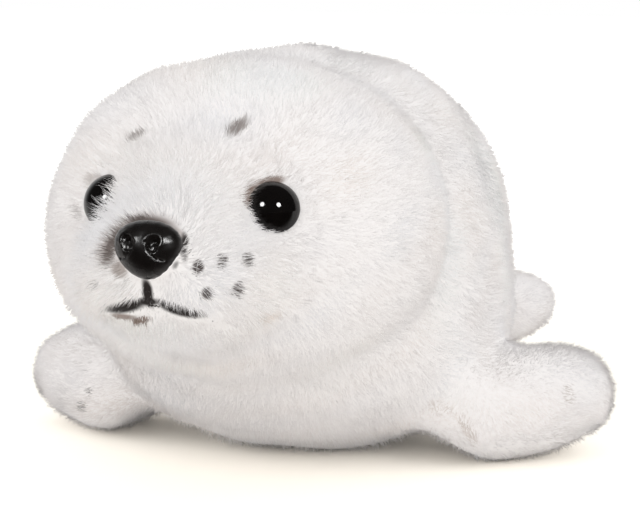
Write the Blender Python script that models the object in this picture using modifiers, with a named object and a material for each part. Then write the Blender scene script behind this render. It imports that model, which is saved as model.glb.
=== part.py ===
"""Plush seal lying on its belly, in metres, with +Z up and the face towards -Y.

Each stuffed form is one closed solid at the outside of its fur. The nose and
the eyes are moulded, and their stems are held by washers inside the head.
"""

import math

import bmesh
import bpy
from mathutils import Vector
from mathutils.bvhtree import BVHTree

# Clearances between touching pieces
SEAM_GAP = 0.0003
STEM_GAP = 0.0003

# Head
HEAD_WIDTH = 0.150
HEAD_FRONT_LENGTH = 0.056
HEAD_REAR_LENGTH = 0.062
HEAD_HEIGHT = 0.123
HEAD_AHEAD = 0.056
HEAD_Z = 0.0935

# Muzzle, measured from the head's centre
MUZZLE_RISE = 0.0140
MUZZLE_HALF_WIDTH = 0.040
MUZZLE_HALF_HEIGHT = 0.031
MUZZLE_DROP = 0.014
MUZZLE_EDGE = 3.0
BRIDGE_RISE = 0.0085
BRIDGE_HALF_WIDTH = 0.023
BRIDGE_HALF_HEIGHT = 0.022
BRIDGE_UP = 0.012
PAD_SPACING = 0.034
PAD_RISE = 0.0140
PAD_SPREAD = 0.0035
PAD_REACH = 0.020
PAD_DROP = 0.019
CHIN_RISE = 0.007
CHIN_REACH = 0.013
CHIN_DROP = 0.034
CHEEK_RISE = 0.003
CHEEK_REACH = 0.034
CHEEK_SPACING = 0.100
CHEEK_DROP = 0.031

# Body
BODY_WIDTH = 0.142
BODY_HEIGHT = 0.155
BODY_FRONT_LENGTH = 0.098
BODY_REAR_LENGTH = 0.152
BODY_Y = -0.014
BELLY_FLATTENING = 0.0015
BELLY_FLAT_START = 0.12
HAUNCH_SWELL = 0.005
HAUNCH_REACH = 0.055
BELLY_FULLNESS = 2.8
CHEST_LIFT = 0.45
TAIL_TAPER = 0.34
TAIL_HEIGHT = 0.032

# Front flippers
FLIPPER_LENGTH = 0.086
FLIPPER_CHORD = 0.061
FLIPPER_TIP_WIDENING = 0.05
FLIPPER_THICKNESS = 0.041
FLIPPER_FULLNESS = 2.4
FLIPPER_FLATTENING = 0.0012
FLIPPER_ROOT_X = 0.044
FLIPPER_AHEAD = 0.019
FLIPPER_LEFT_SWEEP = math.radians(38)
FLIPPER_RIGHT_SWEEP = math.radians(31)
TOE_DENT = 0.004
TOE_INSET = 0.006
TOE_REACH = 0.007
TOE_SPACING = 0.019

# Hind flippers
HIND_LENGTH = 0.087
HIND_CHORD = 0.047
HIND_TIP_WIDENING = 0.15
HIND_THICKNESS = 0.036
HIND_ROOT_X = 0.018
HIND_INSET = 0.0515
HIND_SPLAY = math.radians(14)

# Eyes
EYE_DIAMETER = 0.018
EYE_DOME_HEIGHT = 0.0082
EYE_SPACING = 0.066
EYE_RAISE = 0.0120
EYE_SINK = 0.0012
EYE_RIM_THICKNESS = 0.0012

# Nose
NOSE_WIDTH = 0.0250
NOSE_HEIGHT = 0.0200
NOSE_DEPTH = 0.0160
NOSE_RAISE = -0.0008
NOSE_SINK = 0.0062
NOSE_TAPER = 0.20
NOSE_WIDEST = 0.25
NOSTRIL_RADIUS = 0.0021
NOSTRIL_SPACING = 0.0092
NOSTRIL_RAISE = 0.0022

# Stems and washers behind the eyes and the nose
STEM_DIAMETER = 0.0045
STEM_LENGTH = 0.012
WASHER_DIAMETER = 0.015
WASHER_THICKNESS = 0.0016
WASHER_SETBACK = 0.0045

# Mouth thread
THREAD_DIAMETER = 0.0016
MOUTH_DROP = 0.0190
MOUTH_HALF_WIDTH = 0.0195
MOUTH_SAG = 0.0050
MOUTH_GAP_UNDER_NOSE = 0.0012

# Mesh density
FORM_SEGMENTS = 40
FORM_RINGS = 26
LIMB_SEGMENTS = 22
LIMB_RINGS = 16
TURNED_STEPS = 24
ARC_POINTS = 7
THREAD_POINTS = 13
SHORT_THREAD_POINTS = 5
FLOOR_CUT_SIZE = 0.6
FAR_AHEAD = 1.0


def clear_scene():
    for item in list(bpy.data.objects):
        bpy.data.objects.remove(item, do_unlink=True)


def new_collection(name):
    collection = bpy.data.collections.new(name)
    bpy.context.scene.collection.children.link(collection)
    return collection


def make_material(name, colour, roughness, metallic=0.0):
    material = bpy.data.materials.new(name)
    material.use_nodes = True
    shader = material.node_tree.nodes["Principled BSDF"]
    shader.inputs["Base Color"].default_value = (*colour, 1.0)
    shader.inputs["Roughness"].default_value = roughness
    shader.inputs["Metallic"].default_value = metallic
    material.diffuse_color = (*colour, 1.0)
    return material


def add_piece(name, mesh, material):
    piece = bpy.data.objects.new(name, mesh)
    mesh.materials.append(material)
    PARTS.objects.link(piece)
    return piece


def add_cutter(name, mesh, like=None, growth=0.0):
    """A hidden solid for a Boolean, grown along its normals by a clearance."""
    cutter = bpy.data.objects.new(name, mesh)
    CUTTERS.objects.link(cutter)
    cutter.hide_render = True
    cutter.display_type = "WIRE"
    if like is not None:
        cutter.location = like.location
        cutter.rotation_euler = like.rotation_euler
    if growth:
        displace = cutter.modifiers.new("clearance", "DISPLACE")
        displace.mid_level = 0.0
        displace.strength = growth
    return cutter


def cut(piece, cutter, name, operation="DIFFERENCE"):
    boolean = piece.modifiers.new(name, "BOOLEAN")
    boolean.operation = operation
    boolean.solver = "EXACT"
    boolean.object = cutter


def sphere_mesh(name, segments, rings):
    """A unit sphere with its poles on the Y axis, so its rings follow the nose or the tail."""
    shape = bmesh.new()
    bmesh.ops.create_uvsphere(shape, u_segments=segments, v_segments=rings, radius=1.0)
    for vertex in shape.verts:
        vertex.co = Vector((vertex.co.x, -vertex.co.z, vertex.co.y))
    mesh = bpy.data.meshes.new(name)
    shape.to_mesh(mesh)
    shape.free()
    for polygon in mesh.polygons:
        polygon.use_smooth = True
    return mesh


def swell(mesh, centre, reach, push, sharpness=2.0):
    """Push the vertices near a centre, fading out over a reach along each axis."""
    for vertex in mesh.vertices:
        offset = vertex.co - Vector(centre)
        distance = math.sqrt(sum((offset[axis] / reach[axis]) ** 2 for axis in range(3)))
        vertex.co += Vector(push) * math.exp(-distance ** sharpness)


def fill_out(place, fullness):
    """Move a point of a unit ball out to a squarer ball. A fullness of 2 leaves it round."""
    total = sum(abs(part) ** fullness for part in place)
    place *= total ** (-1.0 / fullness)


def square_off(place, fullness):
    """Make a point's round cross-section about Y squarer, with its width and height kept."""
    radius = math.hypot(place.x, place.z)
    if radius:
        total = abs(place.x / radius) ** fullness + abs(place.z / radius) ** fullness
        place.x *= total ** (-1.0 / fullness)
        place.z *= total ** (-1.0 / fullness)


def turned_mesh(name, profile):
    """An outline of radius and height that the Screw modifier turns about Z.

    An outline that starts off the axis is a ring's section, so it closes on itself.
    """
    mesh = bpy.data.meshes.new(name)
    points = [(radius, 0.0, height) for radius, height in profile]
    edges = [(index, index + 1) for index in range(len(points) - 1)]
    if profile[0][0] > 0.0:
        edges.append((len(points) - 1, 0))
    mesh.from_pydata(points, edges, [])
    return mesh


def turn(item):
    screw = item.modifiers.new("turn", "SCREW")
    screw.axis = "Z"
    screw.angle = math.tau
    screw.steps = TURNED_STEPS
    screw.render_steps = TURNED_STEPS
    screw.use_merge_vertices = True
    screw.merge_threshold = 0.00001


def dome_arc(radius, height):
    """Points from the top of a dome down to its rim."""
    points = []
    for index in range(ARC_POINTS):
        angle = math.pi / 2 * index / (ARC_POINTS - 1)
        points.append((radius * math.sin(angle), height * math.cos(angle)))
    return points


def head_mesh():
    """An egg-shaped head with a muzzle, two whisker pads, a chin and cheeks."""
    mesh = sphere_mesh("head", FORM_SEGMENTS, FORM_RINGS)
    for vertex in mesh.vertices:
        vertex.co.x *= HEAD_WIDTH / 2
        vertex.co.y *= HEAD_FRONT_LENGTH if vertex.co.y < 0 else HEAD_REAR_LENGTH
        vertex.co.z *= HEAD_HEIGHT / 2
    front = -HEAD_FRONT_LENGTH
    reach = (MUZZLE_HALF_WIDTH, MUZZLE_HALF_WIDTH, MUZZLE_HALF_HEIGHT)
    swell(mesh, (0, front, -MUZZLE_DROP), reach, (0, -MUZZLE_RISE, 0), MUZZLE_EDGE)
    reach = (BRIDGE_HALF_WIDTH, MUZZLE_HALF_WIDTH, BRIDGE_HALF_HEIGHT)
    swell(mesh, (0, front, BRIDGE_UP), reach, (0, -BRIDGE_RISE, 0), MUZZLE_EDGE)
    for side in (-1, 1):
        centre = (side * PAD_SPACING / 2, front - MUZZLE_RISE, -PAD_DROP)
        push = (side * PAD_SPREAD, -PAD_RISE, 0)
        swell(mesh, centre, (PAD_REACH, PAD_REACH, PAD_REACH), push)
        centre = (side * CHEEK_SPACING / 2, front / 2, -CHEEK_DROP)
        push = (side * CHEEK_RISE, -CHEEK_RISE, -CHEEK_RISE / 2)
        swell(mesh, centre, (CHEEK_REACH, CHEEK_REACH, CHEEK_REACH), push)
    reach = (CHIN_REACH, CHIN_REACH, CHIN_REACH)
    swell(mesh, (0, front, -CHIN_DROP), reach, (0, -CHIN_RISE, 0))
    return mesh


def body_mesh():
    """A body with a round chest, a flat belly and a tail that tapers to the floor."""
    mesh = sphere_mesh("body", FORM_SEGMENTS, FORM_RINGS)
    half_height = BODY_HEIGHT / 2 + BELLY_FLATTENING / 2
    for vertex in mesh.vertices:
        along = vertex.co.y
        squeeze = 1.0
        lower = 0.0
        length = BODY_FRONT_LENGTH
        if vertex.co.z < 0:
            square_off(vertex.co, BELLY_FULLNESS)
            if along < 0:
                vertex.co.z *= 1.0 - CHEST_LIFT * along ** 2
        if along > 0:
            length = BODY_REAR_LENGTH
            squeeze = 1.0 - TAIL_TAPER * along ** 2
            radius = half_height * math.sqrt(max(0.0, 1.0 - along ** 2)) * squeeze
            lower = half_height - max(radius, TAIL_HEIGHT)
            lower *= min(1.0, along / BELLY_FLAT_START)
        vertex.co.x *= BODY_WIDTH / 2 * squeeze
        vertex.co.y *= length
        vertex.co.z = vertex.co.z * half_height * squeeze - lower
    for side in (-1, 1):
        centre = (side * BODY_WIDTH / 2, 0, -BODY_HEIGHT / 4)
        reach = (HAUNCH_REACH, HAUNCH_REACH * 2, HAUNCH_REACH)
        swell(mesh, centre, reach, (side * HAUNCH_SWELL, 0, 0))
    return mesh


def front_flipper_mesh():
    """A stuffed paddle along +X from its root, pinched between its toes."""
    mesh = sphere_mesh("front_flipper", LIMB_SEGMENTS, LIMB_RINGS)
    for vertex in mesh.vertices:
        fill_out(vertex.co, FLIPPER_FULLNESS)
        outward, chord, height = -vertex.co.y, vertex.co.x, vertex.co.z
        width = 1.0 + FLIPPER_TIP_WIDENING * outward
        vertex.co.x = (outward + 1.0) * FLIPPER_LENGTH / 2
        vertex.co.y = chord * width * FLIPPER_CHORD / 2
        vertex.co.z = height * FLIPPER_THICKNESS / 2
    for side in (-1, 1):
        centre = (FLIPPER_LENGTH - TOE_INSET, side * TOE_SPACING / 2, 0)
        reach = (TOE_REACH * 2, TOE_REACH, FLIPPER_THICKNESS / 2)
        swell(mesh, centre, reach, (-TOE_DENT, 0, 0))
    return mesh


def hind_flipper_mesh():
    """A flat rounded lobe that points back along +Y from its root."""
    mesh = sphere_mesh("hind_flipper", LIMB_SEGMENTS, LIMB_RINGS)
    for vertex in mesh.vertices:
        width = 1.0 + HIND_TIP_WIDENING * (vertex.co.y - 1.0)
        vertex.co.x *= HIND_CHORD / 2 * width
        vertex.co.z *= HIND_THICKNESS / 2 * width
        vertex.co.y = (vertex.co.y + 1.0) * HIND_LENGTH / 2
    return mesh


def nose_mesh():
    """A rounded three-sided button, broad at the top, facing -Y."""
    mesh = sphere_mesh("nose", LIMB_SEGMENTS, LIMB_RINGS)
    for vertex in mesh.vertices:
        width = 1.0 + NOSE_TAPER * (vertex.co.z - NOSE_WIDEST)
        vertex.co.x *= NOSE_WIDTH / 2 * width
        vertex.co.y *= NOSE_DEPTH / 2
        vertex.co.z *= NOSE_HEIGHT / 2
    return mesh


def stem_outline(start, back, gap, washer_top=None):
    """A stem from its start to its end behind a piece's back, with a washer's pocket in a seat."""
    stem = STEM_DIAMETER / 2 + gap
    end = back - STEM_LENGTH - gap
    outline = [(stem, start)]
    if washer_top is not None:
        outer = WASHER_DIAMETER / 2 + gap
        top = washer_top + gap
        bottom = washer_top - WASHER_THICKNESS - gap
        outline += [(stem, top), (outer, top), (outer, bottom), (stem, bottom)]
    return outline + [(stem, end), (0.0, end)]


def eye_outline():
    """Dome, flat back and stem of one moulded eye."""
    radius = EYE_DIAMETER / 2
    back = -EYE_RIM_THICKNESS
    return dome_arc(radius, EYE_DOME_HEIGHT) + [(radius, back)] + stem_outline(back, back, 0.0)


def eye_seat_outline():
    """The recess in the head that takes an eye, its stem and its washer."""
    radius = EYE_DIAMETER / 2 + STEM_GAP
    back = -EYE_RIM_THICKNESS
    washer_top = back - WASHER_SETBACK
    dome = dome_arc(radius, EYE_DOME_HEIGHT + STEM_GAP)
    stem = stem_outline(back - STEM_GAP, back, STEM_GAP, washer_top)
    return dome + [(radius, back - STEM_GAP)] + stem


def washer_outline():
    """The section of a ring that grips a stem, with its top at the origin."""
    outer = WASHER_DIAMETER / 2
    inner = STEM_DIAMETER / 2 + STEM_GAP
    return [(inner, 0.0), (outer, 0.0), (outer, -WASHER_THICKNESS), (inner, -WASHER_THICKNESS)]


def hit(form, x, z):
    """The point and normal of a form's front at a place across and up, in the world."""
    corners = [vertex.co for vertex in form.data.vertices]
    faces = [polygon.vertices for polygon in form.data.polygons]
    origin = Vector((x, -FAR_AHEAD, z)) - form.location
    point, normal, _, _ = BVHTree.FromPolygons(corners, faces).ray_cast(origin, Vector((0, 1, 0)))
    if point is None:
        raise ValueError(f"{form.name} has no front at {x}, {z}")
    return point + form.location, normal


def aim(item, point, direction):
    """Put an item's origin at a point and its local Z along a direction."""
    item.location = point
    item.rotation_euler = direction.to_track_quat("Z", "Y").to_euler()


def thread_mesh(name, route, radius):
    """A round thread along a route, as a closed mesh."""
    curve = bpy.data.curves.new(name, "CURVE")
    curve.dimensions = "3D"
    curve.bevel_depth = radius
    curve.bevel_resolution = 2
    curve.use_fill_caps = True
    spline = curve.splines.new("POLY")
    spline.points.add(len(route) - 1)
    for point, place in zip(spline.points, route):
        point.co = (*place, 1.0)
    holder = bpy.data.objects.new(name, curve)
    bpy.context.scene.collection.objects.link(holder)
    bpy.context.view_layer.update()
    mesh = bpy.data.meshes.new_from_object(holder.evaluated_get(bpy.context.evaluated_depsgraph_get()))
    bpy.data.objects.remove(holder, do_unlink=True)
    shape = bmesh.new()
    shape.from_mesh(mesh)
    bmesh.ops.remove_doubles(shape, verts=shape.verts, dist=0.00001)
    bmesh.ops.recalc_face_normals(shape, faces=shape.faces)
    shape.to_mesh(mesh)
    shape.free()
    return mesh


def build_forms():
    """Head, body and flippers, each seated in or on the next."""
    floor_shape = bmesh.new()
    bmesh.ops.create_cube(floor_shape, size=FLOOR_CUT_SIZE)
    floor_mesh = bpy.data.meshes.new("floor_cut")
    floor_shape.to_mesh(floor_mesh)
    floor_shape.free()
    floor = add_cutter("floor_cut", floor_mesh)
    floor.location.z = -FLOOR_CUT_SIZE / 2

    head = add_piece("head", head_mesh(), FUR)
    head.location = (0, BODY_Y - HEAD_AHEAD, HEAD_Z)
    head_seat = add_cutter("head_seat", head.data.copy(), head, SEAM_GAP)

    body = add_piece("body", body_mesh(), FUR)
    body.location = (0, BODY_Y, BODY_HEIGHT / 2 - BELLY_FLATTENING / 2)
    body_seat = add_cutter("body_seat", body.data.copy(), body, SEAM_GAP)
    cut(body, floor, "flat belly")
    cut(body, head_seat, "head seat")

    sides = (
        ("left", 1, FLIPPER_LEFT_SWEEP),
        ("right", -1, math.pi - FLIPPER_RIGHT_SWEEP),
    )
    for name, side, heading in sides:
        flipper = add_piece(f"front_flipper_{name}", front_flipper_mesh(), FUR)
        flipper_z = FLIPPER_THICKNESS / 2 - FLIPPER_FLATTENING
        flipper.location = (side * FLIPPER_ROOT_X, BODY_Y - FLIPPER_AHEAD, flipper_z)
        flipper.rotation_euler = (0, 0, heading)
        cut(flipper, floor, "flat underside")
        cut(flipper, body_seat, "body seat")
        cut(flipper, head_seat, "head seat")

        hind = add_piece(f"hind_flipper_{name}", hind_flipper_mesh(), FUR)
        hind.location = (side * HIND_ROOT_X, BODY_Y + BODY_REAR_LENGTH - HIND_INSET, TAIL_HEIGHT)
        hind.rotation_euler = (0, 0, -side * HIND_SPLAY)
        cut(hind, floor, "flat underside")
        cut(hind, body_seat, "body seat")
    return head


def build_eyes(head):
    """Two moulded eyes, each held by a washer on its stem."""
    for name, side in (("left", 1), ("right", -1)):
        point, normal = hit(head, side * EYE_SPACING / 2, HEAD_Z + EYE_RAISE)
        place = point - normal * EYE_SINK
        eye = add_piece(f"eye_{name}", turned_mesh("eye", eye_outline()), EYE_PLASTIC)
        turn(eye)
        aim(eye, place, normal)
        seat = add_cutter(f"eye_seat_{name}", turned_mesh("eye_seat", eye_seat_outline()), eye)
        turn(seat)
        cut(head, seat, f"{name} eye seat")
        add_washer(f"eye_washer_{name}", place - normal * (EYE_RIM_THICKNESS + WASHER_SETBACK), normal)


def build_nose(head):
    """A moulded nose with two nostrils, held by a washer on its stem."""
    point, _ = hit(head, 0.0, HEAD_Z + NOSE_RAISE)
    forward = Vector((0, -1, 0))
    nose = add_piece("nose", nose_mesh(), NOSE_PLASTIC)
    nose.location = point + forward * (NOSE_DEPTH / 2 - NOSE_SINK)
    nose_seat = add_cutter("nose_seat", nose.data.copy(), nose, SEAM_GAP)
    cut(head, nose_seat, "nose seat")

    back = -NOSE_DEPTH / 2
    washer_top = back - WASHER_SETBACK
    stem = add_cutter("nose_stem", turned_mesh("nose_stem", [(0.0, 0.0)] + stem_outline(0.0, back, 0.0)))
    bore_outline = [(0.0, 0.0)] + stem_outline(0.0, back, STEM_GAP, washer_top)
    bore = add_cutter("nose_bore", turned_mesh("nose_bore", bore_outline))
    for item in (stem, bore):
        turn(item)
        aim(item, nose.location, forward)
    cut(nose, stem, "stem", "UNION")
    cut(head, bore, "nose bore")
    add_washer("nose_washer", nose.location + forward * washer_top, forward)

    for side in (-1, 1):
        nostril_shape = bmesh.new()
        bmesh.ops.create_uvsphere(nostril_shape, u_segments=12, v_segments=8, radius=NOSTRIL_RADIUS)
        nostril_mesh = bpy.data.meshes.new("nostril")
        nostril_shape.to_mesh(nostril_mesh)
        nostril_shape.free()
        nostril = add_cutter(f"nostril_{side}", nostril_mesh)
        nostril.location, _ = hit(nose, side * NOSTRIL_SPACING / 2, nose.location.z + NOSTRIL_RAISE)
        cut(nose, nostril, f"nostril {side}")
    return nose


def add_washer(name, point, direction):
    washer = add_piece(name, turned_mesh(name, washer_outline()), WASHER_PLASTIC)
    turn(washer)
    aim(washer, point, direction)


def build_mouth(head, nose):
    """A lip line and a short line up to the nose, each laid half into the fur."""
    mouth_z = nose.location.z - MOUTH_DROP
    lip = []
    for index in range(THREAD_POINTS):
        across = 2.0 * index / (THREAD_POINTS - 1) - 1.0
        z = mouth_z - MOUTH_SAG * across ** 2
        lip.append(hit(head, across * MOUTH_HALF_WIDTH, z)[0])
    top = nose.location.z - NOSE_HEIGHT / 2 - MOUTH_GAP_UNDER_NOSE
    bottom = mouth_z + THREAD_DIAMETER / 2 + SEAM_GAP * 2
    line = []
    for index in range(SHORT_THREAD_POINTS):
        z = top + (bottom - top) * index / (SHORT_THREAD_POINTS - 1)
        line.append(hit(head, 0.0, z)[0])
    for name, route in (("mouth_lip_thread", lip), ("mouth_nose_thread", line)):
        add_piece(name, thread_mesh(name, route, THREAD_DIAMETER / 2), THREAD)
        groove = add_cutter(f"{name}_groove", thread_mesh("groove", route, THREAD_DIAMETER / 2 + SEAM_GAP))
        cut(head, groove, f"{name} groove")


clear_scene()
PARTS = new_collection("plush_seal")
CUTTERS = new_collection("cutters")
FUR = make_material("white_plush_fur", (0.83, 0.81, 0.79), 0.95)
EYE_PLASTIC = make_material("black_eye_plastic", (0.006, 0.006, 0.007), 0.08)
NOSE_PLASTIC = make_material("black_nose_plastic", (0.008, 0.008, 0.008), 0.14)
WASHER_PLASTIC = make_material("washer_plastic", (0.75, 0.75, 0.73), 0.5)
THREAD = make_material("black_mouth_thread", (0.02, 0.017, 0.016), 0.85)
HEAD = build_forms()
build_eyes(HEAD)
NOSE = build_nose(HEAD)
build_mouth(HEAD, NOSE)
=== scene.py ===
"""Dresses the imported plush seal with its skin, pile, safety eyes and nose, stitched mouth and studio.

Everything is in metres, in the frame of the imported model: +Z up, the face towards -Y.
"""

import math

import bmesh
import bpy
import numpy as np
from bpy.props import FloatProperty, FloatVectorProperty, IntProperty, PointerProperty
from mathutils import Euler, Matrix, Vector
from mathutils.bvhtree import BVHTree
from mathutils.kdtree import KDTree


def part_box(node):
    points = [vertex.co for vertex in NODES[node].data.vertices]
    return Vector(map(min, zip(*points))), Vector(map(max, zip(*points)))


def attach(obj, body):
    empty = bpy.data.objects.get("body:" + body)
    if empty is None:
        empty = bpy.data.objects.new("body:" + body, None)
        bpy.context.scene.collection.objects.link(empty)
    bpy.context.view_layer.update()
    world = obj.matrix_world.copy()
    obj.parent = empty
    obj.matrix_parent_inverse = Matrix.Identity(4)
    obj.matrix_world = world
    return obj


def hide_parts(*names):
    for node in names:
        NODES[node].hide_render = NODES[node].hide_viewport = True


bl_info = {
    "name": "Plush Seal",
    "version": (1, 0, 0),
    "blender": (4, 5, 0),
    "location": "View3D > Sidebar > Plush Seal",
    "description": "Dresses the packed plush seal with pile, eyes, nose and mouth, in a studio",
    "category": "Object",
}

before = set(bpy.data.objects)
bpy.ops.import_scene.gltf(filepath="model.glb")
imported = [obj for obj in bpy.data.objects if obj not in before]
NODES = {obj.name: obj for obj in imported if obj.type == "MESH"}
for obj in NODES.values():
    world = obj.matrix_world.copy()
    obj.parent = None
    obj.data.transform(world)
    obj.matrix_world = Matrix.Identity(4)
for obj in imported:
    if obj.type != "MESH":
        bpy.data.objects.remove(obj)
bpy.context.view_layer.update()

MM = 0.001
FAR_OFF = 9.0  # a share of a reach that lies well outside it
TINY = 1e-9  # keeps a division from failing
ROOT_DEPTH = 0.6 * MM  # how far a fibre's root lies under the skin
NOSE_LOW, NOSE_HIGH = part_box("nose")
HEAD_LOW, HEAD_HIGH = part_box("head")
BODY_LOW, BODY_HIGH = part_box("body")
NOSE_MIDDLE = (NOSE_LOW + NOSE_HIGH) / 2
HEAD_MIDDLE = (HEAD_LOW + HEAD_HIGH) / 2
BODY_MIDDLE = (BODY_LOW + BODY_HIGH) / 2
FACE_REAR = -100 * MM  # the face lies in front of this

# The brown, grey and black marks on the pile: most are sprayed on, and the rows marked so are painted shade.
# Each row is a mark: its middle in mm, its reach in mm across, inwards and up, its turn in degrees in the
# plane of the face, its colour, and how much of it covers.
SPOT, SOOT, DUST, BROWN, UMBER = "#2E1F18", "#1D1512", "#857C78", "#664833", "#3B281A"
FOREHEAD_MARKS = (
    ((-23.7, -113.4, 127.8), (5.4, 8.0, 3.0), -45, DUST, 0.75),
    ((15.2, -112.7, 131.9), (6.6, 8.0, 3.5), -50, DUST, 0.9),
)
FACE_MARKS = (
    ((16.8, -149.4, 87.5), (2.6, 6.0, 2.9), 0, SPOT, 0.95),
    ((22.9, -143.6, 89.0), (2.3, 6.0, 3.2), 0, SPOT, 0.9),
    ((29.0, -137.3, 88.9), (2.7, 6.0, 3.0), 0, SPOT, 0.9),
    ((19.9, -149.6, 79.0), (2.4, 6.0, 2.7), 0, SPOT, 0.9),
    ((27.6, -141.8, 79.7), (2.7, 6.0, 2.9), 0, SPOT, 0.95),
    ((-23.2, -143.2, 89.3), (2.0, 5.0, 2.0), 0, SPOT, 0.55),
    ((-34.1, -130.7, 88.9), (1.9, 5.0, 2.0), 0, SPOT, 0.5),
    ((-31.6, -134.3, 87.4), (1.8, 5.0, 1.8), 0, SPOT, 0.5),
    ((-38.5, -126.9, 82.5), (2.0, 5.0, 2.0), 0, SPOT, 0.5),
    ((-33.2, -134.0, 80.3), (1.9, 5.0, 1.9), 0, SPOT, 0.5),
    ((-43.2, -120.2, 74.3), (1.9, 5.0, 1.9), 0, SPOT, 0.45),
    ((-21.5, -148.4, 79.2), (2.2, 5.0, 2.2), 0, SPOT, 0.55),
    *FOREHEAD_MARKS,
    ((-10.5, -147.0, 73.0), (13.0, 9.0, 3.2), -15, SOOT, 1.0),
    ((-1.5, -150.5, 74.8), (4.6, 8.0, 2.1), 0, SOOT, 1.0),
    ((9.5, -149.0, 73.0), (12.0, 9.0, 3.3), 14, SOOT, 1.0),
    # These two darken the chin below the lip, in brown.
    ((-13.0, -144.5, 68.6), (7.5, 8.0, 2.6), -6, BROWN, 0.8),
    ((-7.5, -144.5, 66.8), (5.8, 8.0, 2.3), -20, BROWN, 0.9),
    ((-1.0, -150.0, 78.5), (2.7, 8.0, 8.0), 0, SOOT, 1.0),
    ((-5.0, -146.0, 100.8), (15.5, 9.0, 5.8), 3, BROWN, 0.45),
    ((-5.0, -145.5, 100.2), (15.0, 9.0, 4.0), 3, UMBER, 0.85),
    ((8.5, -147.5, 97.4), (5.0, 8.0, 2.4), 38, BROWN, 0.45),
    ((-16.5, -145.0, 93.0), (6.8, 11.0, 11.5), 0, BROWN, 0.5),
    ((-15.8, -146.0, 92.5), (4.3, 11.0, 10.0), 0, UMBER, 0.8),
    ((11.3, -147.3, 93.2), (1.7, 8.0, 7.0), -12, SOOT, 0.95),
    ((9.6, -149.2, 88.6), (1.4, 8.0, 2.6), 25, SOOT, 0.7),
    ((-11.0, -150.5, 85.8), (4.8, 8.0, 3.8), 35, BROWN, 0.6),
    # Painted shade: the next three rows darken the pile where it shades the rims of the eyes.
    ((29.5, -119.8, 112.9), (8.0, 8.0, 2.6), -14, BROWN, 0.8),
    ((24.8, -124.8, 108.3), (2.9, 8.0, 6.0), 8, BROWN, 0.85),
    ((-40.0, -115.5, 111.2), (9.0, 7.0, 2.6), -15, BROWN, 0.3),
    ((-46.0, -115.0, 99.5), (6.0, 6.0, 1.6), 30, DUST, 0.5),
    # Painted shade along the lower rim of the muzzle's left pad.
    ((33.0, -128.0, 68.2), (6.0, 6.0, 3.0), 0, "#C9AE97", 0.3),
)
# Painted shade in the dimples that the toe stitches pull into the flippers.
FLIPPER_DIMPLE_SHADE = (
    ((-82.2, -42.3, 12.5), (2.6, 5.0, 2.4), 0, SPOT, 0.9),
    ((-77.9, -44.7, 18.8), (1.8, 5.0, 1.7), 0, SPOT, 0.8),
    ((107.0, -20.0, 27.5), (3.0, 5.0, 5.0), 0, "#A08D80", 0.5),
)
# Painted shade in the fold where the left front flipper meets the body.
ARMPIT_FOLD_SHADE = (
    ((65.0, -43.5, 24.0), (7.0, 7.0, 3.0), 12, "#A48D79", 0.3),
    ((75.0, -40.5, 15.5), (12.5, 7.0, 2.6), 54, "#A48D79", 0.38),
)


def mm(*numbers):
    """A point or a length that is given in millimetres."""
    return Vector(numbers) * MM


def linear(colour):
    """A hex colour as the linear numbers that a socket takes."""
    parts = [int(colour[start : start + 2], 16) / 255 for start in (1, 3, 5)]
    return [part / 12.92 if part <= 0.04045 else ((part + 0.055) / 1.055) ** 2.4 for part in parts] + [1.0]


def add_node(tree, kind, inputs=None, **settings):
    """Adds a node with its settings. An input is a value, or the output of another node."""
    node = tree.nodes.new(kind)
    for key, value in settings.items():
        setattr(node, key, value)
    for key, value in (inputs or {}).items():
        if isinstance(value, bpy.types.NodeSocket):
            tree.links.new(value, node.inputs[key])
        else:
            node.inputs[key].default_value = value
    return node


def new_material(name, preview):
    """An empty material, its tree, and the place of each point on its object."""
    material = bpy.data.materials.new(name)
    material.use_nodes = True
    material.node_tree.nodes.clear()
    material.diffuse_color = linear(preview)
    place = add_node(material.node_tree, "ShaderNodeTexCoord").outputs["Object"]
    return material, material.node_tree, place


def set_surface(tree, inputs):
    """Joins a shader with these inputs to the material's output."""
    shader = add_node(tree, "ShaderNodeBsdfPrincipled", inputs)
    add_node(tree, "ShaderNodeOutputMaterial", {"Surface": shader.outputs[0]})


def noise(tree, place, size, detail):
    """Noise whose lumps are about one size across."""
    inputs = {"Vector": place, "Scale": 1 / size, "Detail": detail}
    return add_node(tree, "ShaderNodeTexNoise", inputs).outputs["Fac"]


def blend(tree, share, first, second, **settings):
    """A colour between two others."""
    inputs = {0: share, 6: first, 7: second}
    return add_node(tree, "ShaderNodeMix", inputs, data_type="RGBA", **settings).outputs[2]


def taken(tree, value, low, high, start, end, kind="LINEAR"):
    """A value that runs from start to end while another runs from low to high."""
    inputs = {"Value": value, "From Min": low, "From Max": high, "To Min": start, "To Max": end}
    return add_node(tree, "ShaderNodeMapRange", inputs, interpolation_type=kind).outputs[0]


# Materials


def lay_marks(tree, colour, place, marks, middle):
    """Lays marks over a colour, sprayed ones and painted shade. Each is a ball with a soft rim, turned to
    face away from a middle.
    """
    # Each fibre takes a mark as a whole, so it reads the marks a little to one side of where it stands.
    shift = add_node(tree, "ShaderNodeAttribute", attribute_name="mark_shift")
    place = add_node(tree, "ShaderNodeVectorMath", {0: place, 1: shift.outputs["Vector"]}).outputs[0]
    for centre, reach, turn, paint, cover in marks:
        outwards = (mm(*centre) - middle).to_track_quat("-Y", "Z")
        facing = (outwards.to_matrix() @ Euler((0, math.radians(turn), 0)).to_matrix()).to_euler()
        ball = add_node(tree, "ShaderNodeMapping", {
            "Vector": place, "Location": mm(*centre), "Rotation": facing, "Scale": mm(*reach),
        }, vector_type="TEXTURE")
        away = add_node(tree, "ShaderNodeVectorMath", {0: ball.outputs[0]}, operation="LENGTH")
        weight = taken(tree, away.outputs["Value"], 0.45, 1.0, cover, 0.0, "SMOOTHSTEP")
        colour = blend(tree, weight, colour, linear(paint))
    return colour


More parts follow.
